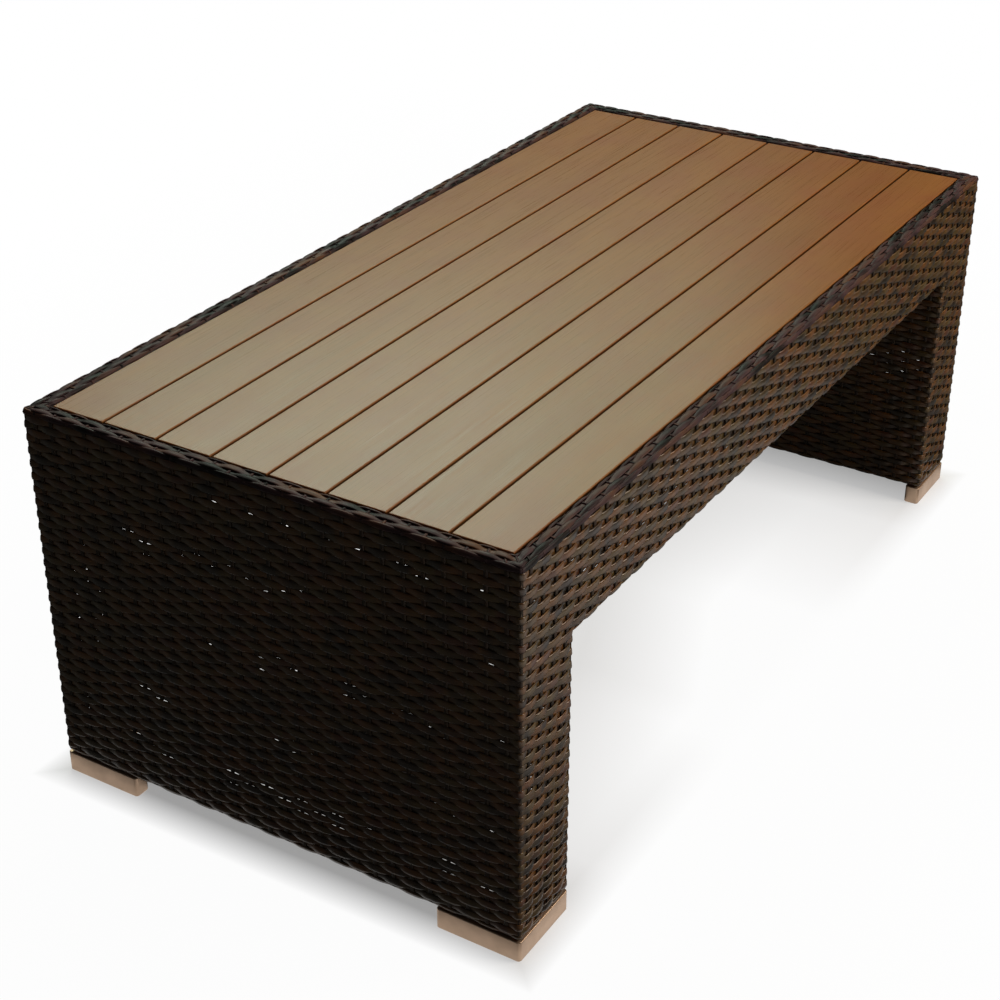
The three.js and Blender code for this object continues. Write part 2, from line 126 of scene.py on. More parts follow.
# How a strand lies: how much its rise over a stake is flattened, how far it slips down behind
# a stake as a share of its swell there, what it keeps of its lift at a lower edge, how far up
# that reaches, what it loses at a corner, and how far the border's first course stands out
WAVE_FLAT = 0.75
BACK_DROOP = 0.35
EDGE_LIFT = 0.5
EDGE_REACH = 1.2 * LEG_COURSE
CORNER_LOSS = 0.45
BORDER_PROUD = 0.5 * MM

# What drifts along a strand, each with random numbers of its own
LIFT_DRIFT, STRAY_DRIFT, TILT_DRIFT, PINHOLE_DRIFT = 1, 2, 3, 4

# A step off a stake, as a share of the distance between two stakes
JUST = 0.001

# Length of strand that its pattern counts from stake to stake
PATTERN_PITCH = 23.0 * MM

# Strands are numbered in their UV map: courses by their row, and stakes from here on
FIRST_STAKE = 200

# Faces along a strand and places of its vertices across it
STEPS_PER_STAKE = 6
STEPS_PER_COURSE = 2
ACROSS_COURSE = (0.0, 0.22, 0.78, 1.0)
ACROSS_STAKE = (0.0, 1.0)

# Slats, and their UV map: where it starts, how wide it is, and how fast it runs down the sides
SLATS = 8
BOARD_START = 0.02
BOARD_SHARE = 0.75
BOARD_SIDES = 14

# White of the floor as the camera sees it, painted by place: the shade under the table and beside
# the end panels is partly painted shade, and the lit side is painted light. In metres from the
# table's
# middle lines or from its outline: where the open middle and the lit side add to it, where the end
# panels take from it, by how much, and where it is clear of the table and far from it
OPEN_LENGTH = (0.54, 0.15)
OPEN_WIDTH = (0.09, 0.25)
OPEN_SHARE = 0.34
LIGHT_SIDE = (-0.1, 0.1, 0.0, 0.08)
PANEL_SHADE = (0.42, 0.56)
PANEL_SHARE = 0.3
CLEAR_EDGE = (-0.015, 0.03)
CLEAR_FAR = (0.2, 1.2)

# Painted light on the floor that only glossy surfaces see, for painted reflections: a pool before
# the long side, which lights the tips of the strands, and a narrow band under the table's edge,
# which lights the metal feet
POOL_WIDTH = (-0.33, -0.95)
POOL_LENGTH = (0.95, 0.45)
POOL_LEAST = 0.05
BAND_OUTER = (0.03, 0.015)
BAND_INNER = (-0.03, -0.02)
BAND_STRENGTH = (HALF_WIDTH, HALF_WIDTH + MM, 0.6, 0.72)

# Distance from the middle of the floor to its edges
FLOOR_REACH = 9.0

# Camera, fitted to the table's edges, and the lamps
CAMERA_PLACE = Vector((-1.8038, -1.0271, 1.3302))
CAMERA_HEADING = math.radians(31.742)
CAMERA_DIP = math.radians(29.51)
SENSOR_WIDTH = 36.0

Lamp = namedtuple("Lamp", "name place target width height colour")
LAMPS = (
    Lamp("front", (0.75, -2.2, 1.9), (-0.1, -0.2, 0.3), 1.2, 1.2, (1.0, 0.93, 0.84)),
    Lamp("right", (1.9, -1.3, 1.6), (0.3, -0.1, 0.4), 1.0, 1.0, (1.0, 0.68, 0.4)),
    Lamp("back", (0.9, 1.3, 2.3), (-0.2, 0.0, 0.4), 1.6, 1.6, (1.0, 0.95, 0.88)),
    Lamp("sky", (3.10, 2.34, 2.88), (-0.1, 0.0, 0.46), 2.5, 0.95, (0.68, 1.0, 0.76)),
)


def paint(red, green, blue):
    """A colour named by its screen values from 0 to 255, as shaders take it."""
    return tuple(
        part / 12.92 if part <= 0.04045 else ((part + 0.055) / 1.055) ** 2.4
        for part in (red / 255, green / 255, blue / 255)
    )


def scatter(*keys):
    """A fixed number from -1 to 1 for a place in the weave, the same in every run."""
    mixed = sum(key * weight for key, weight in zip(keys, (12.9898, 78.233, 37.719)))
    return (math.sin(mixed) * 43758.5453) % 1.0 * 2.0 - 1.0


def ease(share):
    """Smooth step from 0 to 1."""
    share = min(max(share, 0.0), 1.0)
    return share * share * (3.0 - 2.0 * share)


def drift(strand, kind, at):
    """A slow random change along a strand, pinned at each stake."""
    before = math.floor(at)
    start = scatter(strand, before, kind)
    return start + (scatter(strand, before + 1, kind) - start) * ease(at - before)


class WeaveSettings(bpy.types.PropertyGroup):
    """Sizes of the strands and how they lie."""

    width: FloatProperty(
        name="Strand Width", description="Width of a strand where it passes between two stakes",
        default=7.6 * MM, unit="LENGTH", precision=5)
    front_swell: FloatProperty(
        name="Front Swell", description="How much wider a strand spreads in front of a stake",
        default=0.6 * MM, unit="LENGTH", precision=5)
    back_swell: FloatProperty(
        name="Back Swell", description="How much wider a strand spreads behind a stake",
        default=3.4 * MM, unit="LENGTH", precision=5)
    end_swell: FloatProperty(
        name="End Back Swell",
        description="How much wider an end panel's outer strands spread behind a stake",
        default=0.9 * MM, unit="LENGTH", precision=5)
    pinhole: FloatProperty(
        name="Pinholes", description="How much narrower an end panel's strands are here and there",
        default=1.8 * MM, unit="LENGTH", precision=5)
    inner_swell: FloatProperty(
        name="Inner Back Swell",
        description="How much wider an end panel's inner strands spread behind a stake",
        default=-0.3 * MM, unit="LENGTH", precision=5)
    border_swell: FloatProperty(
        name="Border Back Swell",
        description="How much wider a border strand spreads behind a stake",
        default=1.2 * MM, unit="LENGTH", precision=5)
    thickness: FloatProperty(
        name="Strand Thickness", description="Thickness of a strand",
        default=0.85 * MM, unit="LENGTH", precision=5)
    lift: FloatProperty(
        name="Lift", description="How far a strand rises and falls over the stakes",
        default=1.6 * MM, unit="LENGTH", precision=5)
    end_lift: FloatProperty(
        name="End Lift",
        description="How far an end panel's strands rise and fall over the stakes",
        default=1.05 * MM, unit="LENGTH", precision=5)
    lean: FloatProperty(
        name="Lean", description="How far a strand tucks its upper edge in and its lower edge out",
        default=0.35 * MM, unit="LENGTH", precision=5)
    border_lift: FloatProperty(
        name="Border Lift", description="How far a border strand rises and falls over the stakes",
        default=0.95 * MM, unit="LENGTH", precision=5)
    depth: FloatProperty(
        name="Depth", description="How deep the middle of the weave lies under the outer face",
        default=1.6 * MM, unit="LENGTH", precision=5)
    crown: FloatProperty(
        name="Crown", description="How far the edges of a strand turn down",
        default=0.8 * MM, unit="LENGTH", precision=5)
    wander: FloatProperty(
        name="Wander", description="How far a strand strays from its course",
        default=0.28 * MM, unit="LENGTH", precision=5)
    stake_width: FloatProperty(
        name="Stake Width", description="Width of an upright strand",
        default=4.6 * MM, unit="LENGTH", precision=5)
    border_stake: FloatProperty(
        name="Border Stake", description="Width of a strand that holds the border's courses",
        default=2.6 * MM, unit="LENGTH", precision=5)


class WickerSettings(bpy.types.PropertyGroup):
    """Colours and gloss of the strands."""

    dark: FloatVectorProperty(
        name="Dark", description="Darkest brown of the strands",
        default=paint(21, 15, 11), subtype="COLOR", min=0, max=1)
    warm: FloatVectorProperty(
        name="Warm", description="Warmer brown of the strands",
        default=paint(130, 84, 39), subtype="COLOR", min=0, max=1)
    olive: FloatVectorProperty(
        name="Olive", description="Greyer brown of the strands",
        default=paint(102, 80, 40), subtype="COLOR", min=0, max=1)
    red: FloatVectorProperty(
        name="Red", description="Redder brown of the strands",
        default=paint(100, 60, 38), subtype="COLOR", min=0, max=1)
    border: FloatVectorProperty(
        name="Border", description="Cooler brown of the border's strands",
        default=paint(88, 64, 66), subtype="COLOR", min=0, max=1)
    roughness: FloatProperty(
        name="Roughness", description="Roughness of the strands",
        default=0.3, subtype="FACTOR", min=0, max=1)
    gloss: FloatProperty(
        name="Gloss", description="Strength of the strands' reflections",
        default=0.55, subtype="FACTOR", min=0, max=1)
    tint: FloatVectorProperty(
        name="Tint", description="Colour of the walls' reflections",
        default=(1.0, 0.88, 0.78), subtype="COLOR", min=0, max=1)


class SlatSettings(bpy.types.PropertyGroup):
    """Colours and edges of the slats."""

    light: FloatVectorProperty(
        name="Light Grain", description="Lighter colour of the grain",
        default=paint(177, 114, 54), subtype="COLOR", min=0, max=1)
    dark: FloatVectorProperty(
        name="Dark Grain", description="Darker colour of the grain",
        default=paint(148, 92, 41), subtype="COLOR", min=0, max=1)
    blush: FloatVectorProperty(
        name="Blush", description="Redder tone in soft patches over the slats",
        default=paint(160, 88, 52), subtype="COLOR", min=0, max=1)
    # Painted shade on a slat's sides down in the gaps between the slats
    side: FloatVectorProperty(
        name="Side", description="Colour of a slat's sides down in the gaps",
        default=paint(46, 24, 8), subtype="COLOR", min=0, max=1)
    round: FloatProperty(
        name="Edge Round", description="Radius of a slat's long edges",
        default=1.2 * MM, unit="LENGTH", precision=5)
    roughness: FloatProperty(
        name="Roughness", description="Roughness of the slats",
        default=0.29, subtype="FACTOR", min=0, max=1)


class MetalSettings(bpy.types.PropertyGroup):
    """Finish of the feet and of the tube frame."""

    foot: FloatVectorProperty(
        name="Foot", description="Colour of the satin feet",
        default=paint(224, 190, 160), subtype="COLOR", min=0, max=1)
    foot_arm: FloatProperty(
        name="Foot Arm", description="Width of a foot's two arms",
        default=20 * MM, unit="LENGTH", precision=5)
    foot_round: FloatProperty(
        name="Foot Corner", description="Radius of a foot's upright edges",
        default=4 * MM, unit="LENGTH", precision=5)
    foot_edge: FloatProperty(
        name="Foot Edge", description="Radius of a foot's upper and lower edges",
        default=1.0 * MM, unit="LENGTH", precision=5)
    tube: FloatVectorProperty(
        name="Tube", description="Colour of the powder-coated tubes",
        default=paint(44, 36, 30), subtype="COLOR", min=0, max=1)


class StageSettings(bpy.types.PropertyGroup):
    """Camera, lamps and floor."""

    lens: FloatProperty(
        name="Lens", description="Focal length of the camera in millimetres",
        default=68.49, min=10)
    front: FloatProperty(
        name="Front Lamp", description="Power of the lamp before the long side",
        default=37, min=0, unit="POWER")
    right: FloatProperty(
        name="Right Lamp", description="Power of the warm lamp before the right end",
        default=5, min=0, unit="POWER")
    back: FloatProperty(
        name="Back Lamp", description="Power of the lamp high behind the table",
        default=18, min=0, unit="POWER")
    sky: FloatProperty(
        name="Sky Lamp", description="Power of the cool, wide lamp that the slats mirror",
        default=34, min=0, unit="POWER")
    fill: FloatProperty(
        name="Fill", description="Strength of the even light from all round",
        default=0.026, min=0)
    mirrored: FloatProperty(
        name="Mirrored", description="Strength of the background that glossy surfaces mirror",
        default=0.05, min=0)
    floor: FloatVectorProperty(
        name="Floor", description="Colour of the floor",
        default=(0.14, 0.14, 0.14), subtype="COLOR", min=0, max=1)
    whiteness: FloatProperty(
        name="Whiteness", description="Share of plain white in the floor that the camera sees",
        default=0.975, subtype="FACTOR", min=0, max=1)
    # Painted shade: a lower share of white under the table paints the floor darker there
    painted_shade: FloatProperty(
        name="Shade",
        description="Share of plain white in the floor under the table, where it is darkest",
        default=0.62, subtype="FACTOR", min=0, max=1)


class Side:
    """One straight side of an outline and the stakes that stand along it."""

    def __init__(self, start, end, stakes, lean):
        self.start = Vector(start)
        self.end = Vector(end)
        self.length = (self.end - self.start).length
        self.onward = (self.end - self.start) / self.length
        self.inward = Vector((-self.onward.y, self.onward.x))
        self.stakes = stakes
        self.lean = lean

    def stake(self, number, inset, height):
        """How far along a stake stands, counting the two corners as the first and the last."""
        count = len(self.stakes)
        if number == 0:
            return inset
        if number == count + 1:
            return self.length - inset
        lean = self.lean[number - 1] * (1.0 - ease((height - LEAN_FROM) / LEAN_OVER))
        fan = FAN_FALL ** (number - 1) - FAN_FALL ** (count - number)
        return self.stakes[number - 1] + lean + CORNER_FAN * inset * fan

    def point(self, along, inset):
        """Plan point and the direction that points out of the wall there."""
        radius = max(CORNER_ROUND - inset, CORNER_LEAST)
        ends = (
            (self.start, self.onward, along - inset),
            (self.end, -self.onward, self.length - inset - along),
        )
        for corner, away, distance in ends:
            if distance < radius:
                angle = (1.0 - max(distance, 0.0) / radius) * math.pi / 4
                centre = corner + (inset + radius) * (away + self.inward)
                outward = -(math.cos(angle) * self.inward + math.sin(angle) * away)
                return centre + radius * outward, outward
        return self.start + along * self.onward + inset * self.inward, -self.inward


class Outline:
    """Plan outline of a woven box, followed anticlockwise and counted in stakes."""

    def __init__(self, sides):
        self.sides = sides
        self.spans = [(side, number) for side in sides for number in range(len(side.stakes) + 1)]
        self.corners = [0, *accumulate(len(side.stakes) + 1 for side in sides)]

    def ends(self, index, inset, height):
        """The side of a span between stakes and where its two stakes stand."""
        side, number = self.spans[index % len(self.spans)]
        return side, side.stake(number, inset, height), side.stake(number + 1, inset, height)

    def place(self, at, inset, height):
        """Plan point and outward direction at a count of stakes."""
        index = math.floor(at)
        side, first, last = self.ends(index, inset, height)
        return side.point(first + (last - first) * (at - index), inset)

    def pitch(self, at, inset, height):
        """Distance between the stakes on both sides of a place."""
        _, first, last = self.ends(math.floor(at), inset, height)
        return last - first

    def turn(self, at):
        """How near a place is to a corner: 1 at its stake, 0 from the next stake on."""
        past = [(at - corner) % self.corners[-1] for corner in self.corners[:-1]]
        return 1.0 - min(1.0, *past, *(self.corners[-1] - one for one in past))

    def seams(self, side, turning):
        """Where the even and the odd courses along a side start and end, behind a stake.

        Courses that turn the side's corners run on to the next stake, and the others stop there.
        """
        start, end = self.corners[side], self.corners[side + 1]
        if turning:
            return (start, end + 1), (start - 1, end)
        return (start + 1, end), (start, end - 1)

    def count_at(self, index, along, inset, height):
        """Count of stakes at a distance along a side."""
        start = self.corners[index]
        for step in range(len(self.sides[index].stakes) + 1):
            _, first, last = self.ends(start + step, inset, height)
            if along <= last:
                return start + step + (along - first) / (last - first)
        raise ValueError("the place is past the end of the side")


class Section:
    """How a woven wall is folded: straight runs of inset and height with rounded turns."""

    def __init__(self, points, radius, origin):
        self.points = [Vector(point) for point in points]
        self.radius = radius
        runs = [(after - before).length for before, after in zip(self.points, self.points[1:])]
        starts = list(accumulate(runs, initial=0.0))
        self.starts = [start - starts[origin] for start in starts]

    def heading(self, run):
        """Direction of a run and the outward direction beside it."""
        onward = (self.points[run + 1] - self.points[run]).normalized()
        return onward, Vector((-onward.y, onward.x))

    def at(self, distance):
        """Inset, height and outward direction at a distance along the fold."""
        for turn in range(1, len(self.points) - 1):
            past = distance - self.starts[turn]
            if abs(past) < self.radius[turn - 1]:
                return self.rounded(turn, past, self.radius[turn - 1])
        run = 0
        while run < len(self.points) - 2 and distance > self.starts[run + 1]:
            run += 1
        onward, outward = self.heading(run)
        return self.points[run] + onward * (distance - self.starts[run]), outward

    def rounded(self, turn, past, radius):
        """A place on the rounded turn at one of the points."""
        onward, before = self.heading(turn - 1)
        _, after = self.heading(turn)
        angle = (past / radius + 1.0) * math.pi / 4
        outward = math.cos(angle) * before + math.sin(angle) * after
        centre = self.points[turn] - radius * onward - radius * before
        return centre + radius * outward, outward


def side_stakes(length, count, first):
    """Even places of the stakes along a side."""
    pitch = (length - 2 * first) / (count - 1)
    return [first + pitch * number for number in range(count)]


def leaning(stakes):
    """How far each stake near a leg moves to follow the leg's closer spacing."""
    lean = []
    for number, place in enumerate(stakes):
        if number <= LEG_STAKES:
            lean.append(LEG_FIRST + LEG_PITCH * number - place)
        else:
            lean.append(lean[-1] * LEAN_FALL)
    return lean


def whole_outline():
    """Outline of the whole table at its apron and border."""
    along = side_stakes(2 * HALF_LENGTH, SIDE_STAKES, SIDE_FIRST)
    across = side_stakes(2 * HALF_WIDTH, END_STAKES, END_FIRST)
    lean = leaning(along)
    both = [near - far for near, far in zip(lean, reversed(lean))]
    corners = [
        (-HALF_LENGTH, -HALF_WIDTH), (HALF_LENGTH, -HALF_WIDTH),
        (HALF_LENGTH, HALF_WIDTH), (-HALF_LENGTH, HALF_WIDTH),
    ]
    sides = []
    for number, start in enumerate(corners):
        stakes, shift = ((along, both), (across, [0.0] * END_STAKES))[number % 2]
        sides.append(Side(start, corners[(number + 1) % 4], stakes, shift))
    return Outline(sides)


def panel_outline(turned):
    """Outline of one end panel, from its outer front corner; turned for the right end."""
    sign = -1 if turned else 1
    along = side_stakes(2 * HALF_LENGTH, SIDE_STAKES, SIDE_FIRST)
    near = along[:LEG_STAKES]
    near_lean = leaning(along)[:LEG_STAKES]
    far = [LEG_DEPTH - place for place in reversed(near)]
    far_lean = [-shift for shift in reversed(near_lean)]
    across = side_stakes(2 * HALF_WIDTH, END_STAKES, END_FIRST)
    level = [0.0] * END_STAKES
    outer, inner = -HALF_LENGTH * sign, (LEG_DEPTH - HALF_LENGTH) * sign
    front, back = -HALF_WIDTH * sign, HALF_WIDTH * sign
    return Outline([
        Side((outer, front), (inner, front), near, near_lean),
        Side((inner, front), (inner, back), across, level),
        Side((inner, back), (outer, back), far, far_lean),
        Side((outer, back), (outer, front), across, level),
    ])


# How a wall's strands lie, apart from what all strands share
Manner = namedtuple("Manner", "lift lean back_swell stake pinhole")


def wall_manner(weave):
    """How the strands of the aprons and legs lie."""
    return Manner(weave.lift, weave.lean, weave.back_swell, weave.stake_width, 0.0)


def end_manner(weave, back_swell):
    """How the strands of the end panels and inner faces lie."""
    return Manner(weave.end_lift, weave.lean, back_swell, weave.stake_width, weave.pinhole)


def border_manner(weave):
    """How the strands of the border lie."""
    return Manner(weave.border_lift, 0.0, weave.border_swell, weave.border_stake, 0.0)


class Loom:
    """A mesh in which strands are laid one by one over one folded wall."""

    def __init__(self, outline, section, weave, manner=None):
        self.mesh = bmesh.new()
        self.uv = self.mesh.loops.layers.uv.new("Strand")
        self.weave = weave
        self.manner = manner or wall_manner(weave)
        self.use(outline, section)

    def use(self, outline, section, span=None, beyond=None):
        """Goes on with another outline or fold; beyond a span of stakes the fold may differ."""
        self.outline = outline
        self.section = section
        self.span = span
        self.beyond = beyond

    def surface(self, at, distance, lift):
        """Point of the woven wall at a count of stakes and a distance along its fold."""
        inside = self.span is None or self.span[0] < at < self.span[1]
        section = self.section if inside else self.beyond
        (inset, height), (inward, upward) = section.at(distance)
        point, outward = self.outline.place(at, inset, height)
        plan = point - outward * inward * lift
        return Vector((plan.x, plan.y, height + upward * lift))

    def lay(self, steps, across, strand, place):
        """Lays one strand: place gives the point for a share along and a share across."""
        made = bmesh.ops.create_grid(
            self.mesh, x_segments=steps, y_segments=len(across) - 1, size=0.5)
        for vert in made["verts"]:
            along = round((vert.co.x + 0.5) * steps) / steps
            edge = across[round((vert.co.y + 0.5) * (len(across) - 1))]
            vert.co, length = place(along, edge)
            for loop in vert.link_loops:
                loop[self.uv].uv = (length, strand + edge)

    def course(self, row, distance, first, last, proud=0.0):
        """A strand that runs round the wall in front of and behind the stakes."""
        weave, manner = self.weave, self.manner
        steps = max(2, round((last - first) * STEPS_PER_STAKE))
        kept = EDGE_LIFT + (1.0 - EDGE_LIFT) * ease(distance / EDGE_REACH)

        def place(share, edge):
            at = first + (last - first) * share
            wave = math.cos(math.pi * (row + at))
            lift = manner.lift * kept * ((1.0 + WAVE_FLAT) * wave - WAVE_FLAT * wave ** 3)
            lift *= 1.0 - CORNER_LOSS * self.outline.turn(at)
            lift += weave.wander * 0.5 * drift(row, LIFT_DRIFT, at) + proud
            lift -= weave.crown * (2.0 * edge - 1.0) ** 2
            stray = weave.wander * drift(row, STRAY_DRIFT, at)
            tilt = weave.wander * drift(row, TILT_DRIFT, at) - 2.0 * manner.lean
            lift += tilt * (edge - 0.5)
            narrower = manner.pinhole * max(drift(row, PINHOLE_DRIFT, at), 0.0)
            front = weave.front_swell * max(wave, 0.0)
            back = (manner.back_swell - narrower) * max(-wave, 0.0)
            across = (edge - 0.5) * (weave.width + front + back) - BACK_DROOP * back
            return self.surface(at, distance + stray + across, lift), at * PATTERN_PITCH

        self.lay(steps, ACROSS_COURSE, row, place)

    def wall(self, rows, seams, base=0.0):
        """The courses of a wall, from a base up its fold, with their ends at the seams."""
        for row in rows:
            self.course(row, wall_row(row, self.weave.depth) - base, *seams[row % 2])

    def stake(self, number, start, end):
        """A strand that stands between the courses."""
        weave = self.weave
        steps = max(2, round((end - start) / LEG_COURSE) * STEPS_PER_COURSE)
        half = self.manner.stake / 2

        def place(share, edge):
            distance = start + (end - start) * share
            (inset, height), _ = self.section.at(distance)
            side = number + (JUST if edge < 0.5 else -JUST)
            reach = half / self.outline.pitch(side, inset, height)
            at = number + (reach if edge < 0.5 else -reach)
            return self.surface(at, distance, -weave.thickness / 2), distance

        self.lay(steps, ACROSS_STAKE, FIRST_STAKE + number, place)

    def piece(self, name, material, slot, *nodes):
        """Ends the mesh as a named piece that stands for nodes of the frame."""
        for face in self.mesh.faces:
            face.smooth = True
        made = make_piece(name, self.mesh, material, slot, *nodes)
        wall = made.modifiers.new("Thickness", "SOLIDIFY")
        wall.thickness = self.weave.thickness
        wall.offset = -1


def make_piece(name, shape, material, slot, *nodes):
    """Turns a finished shape into a piece on the table's body."""
    mesh = bpy.data.meshes.new(name)
    shape.to_mesh(mesh)
    shape.free()
    mesh.materials.append(material)
    piece = bpy.data.objects.new(name, mesh)
    bpy.context.scene.collection.objects.link(piece)
    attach(piece, BODY)
    if nodes:
        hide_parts(*nodes)
    return piece


def round_edges(shape, edges, radius, segments):
    """Rounds some edges of a shape."""
    bmesh.ops.bevel(
        shape, geom=edges, offset=radius, offset_type="OFFSET",
        affect="EDGES", segments=segments, profile=0.5, material=-1)


def moulded_piece(name, shape, material, slot, node):
    """Makes a piece with flat faces and soft edges."""
    for face in shape.faces:
        face.smooth = True
    piece = make_piece(name, shape, material, slot, node)
    weighted = piece.modifiers.new("Flat Faces", "WEIGHTED_NORMAL")
    weighted.keep_sharp = True


class Wire:
    """A value in a shader that is worked with like a number."""

    def __init__(self, nodes, socket):
        self.nodes = nodes
        self.socket = socket

    def __add__(self, other):
        return self.nodes.maths("ADD", self, other)

    __radd__ = __add__

    def __sub__(self, other):
        return self.nodes.maths("SUBTRACT", self, other)

    def __rsub__(self, other):
        return self.nodes.maths("SUBTRACT", other, self)

    def __mul__(self, other):
        return self.nodes.maths("MULTIPLY", self, other)

    __rmul__ = __mul__

    def spread(self, low, high, start=0.0, end=1.0):
        """Maps low..high to start..end and holds it there."""
        return self.nodes.node("ShaderNodeMapRange", {}, {
            "Value": self, "From Min": low, "From Max": high, "To Min": start, "To Max": end})


class Nodes:
    """A node tree and the one way in which nodes are added to it."""

    def __init__(self, tree):
        self.tree = tree

    def node(self, kind, settings, inputs, output=0):
        """Adds a node, sets it up, feeds its sockets and gives one of its outputs."""
        made = self.tree.nodes.new(kind)
        for name, value in settings.items():
            setattr(made, name, value)
        for name, value in inputs.items():
            self.feed(made.inputs[name], value)
        return Wire(self, made.outputs[output])

    def feed(self, socket, value):
        """Links a wire to a socket, or sets the socket's own value."""
        if isinstance(value, Wire):
            self.tree.links.new(value.socket, socket)
        else:
            socket.default_value = value

    def ray(self, kind):
        """1 for rays of one kind, such as those that reach the camera."""
        return self.node("ShaderNodeLightPath", {}, {}, kind)

    def maths(self, operation, *values):
        """Adds one Math node."""
        return self.node("ShaderNodeMath", {"operation": operation}, dict(enumerate(values)))

    def mix(self, factor, first, second):
        """Blends two colours."""
        colours = {0: factor, 6: solid(first), 7: solid(second)}
        return self.node("ShaderNodeMix", {"data_type": "RGBA"}, colours, 2)

    def split(self, vector, axis):
        """One part of a vector."""
        return self.node("ShaderNodeSeparateXYZ", {}, {0: vector}, axis)

    def join(self, x, y, z):
        """A vector from its three parts."""
        return self.node("ShaderNodeCombineXYZ", {}, {0: x, 1: y, 2: z})

    def noise(self, vector, scale, detail=2.0, roughness=0.5):
        """Soft noise, about 0 to 1."""
        return self.node("ShaderNodeTexNoise", {}, {
            "Vector": vector, "Scale": scale, "Detail": detail, "Roughness": roughness})


class Finish(Nodes):
    """A material and the nodes that make its surface."""

    def __init__(self, name):
        self.material = bpy.data.materials.new(name)
        self.material.use_nodes = True
        super().__init__(self.material.node_tree)
        self.shader = self.tree.nodes["Principled BSDF"]

    def place(self, source):
        """Position from one of Texture Coordinate's outputs."""
        return self.node("ShaderNodeTexCoord", {}, {}, source)

    def surface(self, **inputs):
        """Feeds the shader's own sockets, named with underscores for spaces."""
        for name, value in inputs.items():
            self.feed(self.shader.inputs[name.replace("_", " ")], value)

    def bump(self, height, distance):
        """Raises the surface by a distance in metres at a height of 1."""
        self.surface(Normal=self.node("ShaderNodeBump", {}, {
            "Height": height, "Distance": distance, "Strength": 1.0}))


def solid(colour):
    """A colour with its alpha, or a wire left as it is."""
    return colour if isinstance(colour, Wire) else (*colour, 1.0)


def shared(name, build):
    """Makes a material once and then gives the same one to each piece."""
    return bpy.data.materials.get(name) or build(name)


def strand_map(finish):
    """Place along a strand or board, place across it and its number, from the UV map."""
    uv = finish.place("UV")
    strand = finish.split(uv, "Y")
    return finish.split(uv, "X"), strand, finish.maths("FLOOR", strand)


def wicker_finish(name):
    """Brown moulded strands with fine lengthwise streaks; each strand keeps its own tone."""
    look = bpy.context.scene.wicker_look
    finish = Finish(name)
    along, strand, number = strand_map(finish)
    tone = finish.noise(finish.join(along * 26, number * 7.31, 0.0), 1.0, 2.0)
    hue = finish.noise(finish.join(along * 19, number * 3.77, 5.0), 1.0, 2.0)
    streaks = finish.noise(finish.join(along * 45, strand * 9, number * 1.7), 1.0, 3.0, 0.6)
    brown = finish.mix(hue.spread(0.42, 0.6), look.olive, look.warm)
    brown = finish.mix(tone.spread(0.56, 0.66), brown, look.red)
    brown = finish.mix(tone.spread(0.53, 0.36, 0.0, 0.9), brown, look.dark)
    brown = finish.mix(streaks.spread(0.45, 0.7, 0.0, 0.6), brown, look.dark)
    # The stakes lie deep between the courses: their colour is painted darker there as painted
    # shade, and they are duller than these
    stakes = number.spread(FIRST_STAKE - 1, FIRST_STAKE)
    sheen = streaks.spread(0.3, 0.7, look.roughness - 0.08, look.roughness + 0.1)
    finish.surface(
        Base_Color=finish.mix(stakes * 0.85, brown, look.dark),
        Roughness=sheen + stakes * 0.4,
        Specular_IOR_Level=look.gloss,
        Specular_Tint=solid(look.tint))
    finish.bump(streaks, 0.03 * MM)
    return finish.material


def border_finish(name):
    """The border's strands, cooler and duller than the walls'."""
    look = bpy.context.scene.wicker_look
    finish = Finish(name)
    along, strand, number = strand_map(finish)
    tone = finish.noise(finish.join(along * 14, number * 5.13, 2.0), 1.0, 2.0)
    streaks = finish.noise(finish.join(along * 40, strand * 9, number * 2.3), 1.0, 3.0, 0.6)
    brown = finish.mix(tone.spread(0.5, 0.68, 0.0, 0.6), look.border, look.warm)
    brown = finish.mix(tone.spread(0.5, 0.38), brown, look.dark)
    brown = finish.mix(streaks.spread(0.45, 0.7, 0.0, 0.6), brown, look.dark)
    finish.surface(
        Base_Color=brown,
        Roughness=streaks.spread(0.3, 0.7, look.roughness + 0.1, look.roughness + 0.3),
        Specular_IOR_Level=look.gloss * 0.35)
    finish.bump(streaks, 0.03 * MM)
    return finish.material


def slat_finish(name):
    """Moulded board with a fine brushed grain along its length."""
    look = bpy.context.scene.slat_look
    finish = Finish(name)
    along, across, board = strand_map(finish)
    brush = finish.noise(finish.join(along * 10, across * 130, board * 3.1), 1.0, 4.0, 0.65)
    cloud = finish.noise(finish.join(along * 3, across * 2.5, board * 1.9), 1.0, 2.0)
    own = finish.noise(finish.join(board * 5.3, 0.0, 0.0), 1.0, 0.0)
    tone = (brush * 0.6 + cloud * 0.25 + own * 0.15).spread(0.36, 0.64)
    place = finish.place("Object")
    # Painted shade: a slat's sides are painted darker the further down they reach into the gaps
    depth = SLAT_TOP - finish.split(place, "Z")
    sides = depth.spread(look.round * 0.6, look.round * 1.6, 0.0, 0.8)
    brown = finish.mix(tone, look.dark, look.light)
    blush = finish.noise(place, 16.0, 3.0, 0.6)
    brown = finish.mix(blush.spread(0.42, 0.68, 0.0, 0.45), brown, look.blush)
    finish.surface(
        Base_Color=finish.mix(sides, brown, look.side),
        Roughness=brush.spread(0.3, 0.7, look.roughness - 0.05, look.roughness + 0.1),
        Specular_IOR_Level=0.35)
    finish.bump(brush, 0.012 * MM)
    return finish.material


